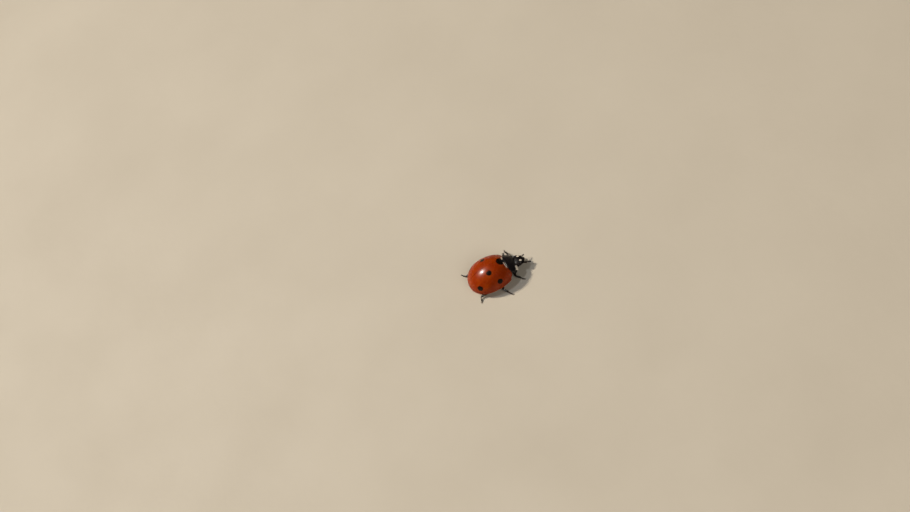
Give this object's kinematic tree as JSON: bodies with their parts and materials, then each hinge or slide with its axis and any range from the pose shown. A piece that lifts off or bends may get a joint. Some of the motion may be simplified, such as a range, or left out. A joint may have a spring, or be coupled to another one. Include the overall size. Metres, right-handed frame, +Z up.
{
  "type": "ladybird beetle model",
  "caption": "Still, life-size model of a ladybird beetle in mid-stride: domed red wing cases with black spots, black shield and head, short clubbed feelers, and feet flat on the floor.",
  "frame": {"origin": "on the floor that the feet stand on, under the middle of the whole animal from feeler tip to hind foot", "axes": "+Y forward to the head, +X to the animal's right, +Z up from the floor"},
  "size_m": [0.0065, 0.0087, 0.0033],
  "materials": {
    "wing_case": "glossy red-orange shell with black spots",
    "black_shell": "glossy black shell with cream marks",
    "underside": "satin black, finely haired",
    "eye": "glossy black, faceted",
    "feeler": "satin dark brown",
    "mouthparts": "satin brown-black",
    "leg": "satin black, finely haired",
    "foot": "satin dark brown"
  },
  "bodies": {
    "root": {"elytron_left": "wing_case", "elytron_right": "wing_case", "scutellum": "black_shell", "pronotum": "black_shell", "head": "black_shell", "prothorax": "underside", "thorax": "underside", "abdomen": "underside", "eye_left": "eye", "eye_right": "eye", "antenna_left": "feeler", "antenna_right": "feeler", "labrum": "mouthparts", "mandible_left": "mouthparts", "mandible_right": "mouthparts", "palp_left": "mouthparts", "palp_right": "mouthparts", "femur_front_left": "leg", "femur_front_right": "leg", "femur_middle_left": "leg", "femur_middle_right": "leg", "femur_hind_left": "leg", "femur_hind_right": "leg", "tibia_front_left": "leg", "tibia_front_right": "leg", "tibia_middle_left": "leg", "tibia_middle_right": "leg", "tibia_hind_left": "leg", "tibia_hind_right": "leg", "tarsus_front_left": "foot", "tarsus_front_right": "foot", "tarsus_middle_left": "foot", "tarsus_middle_right": "foot", "tarsus_hind_left": "foot", "tarsus_hind_right": "foot"}
  },
  "joints": []
}
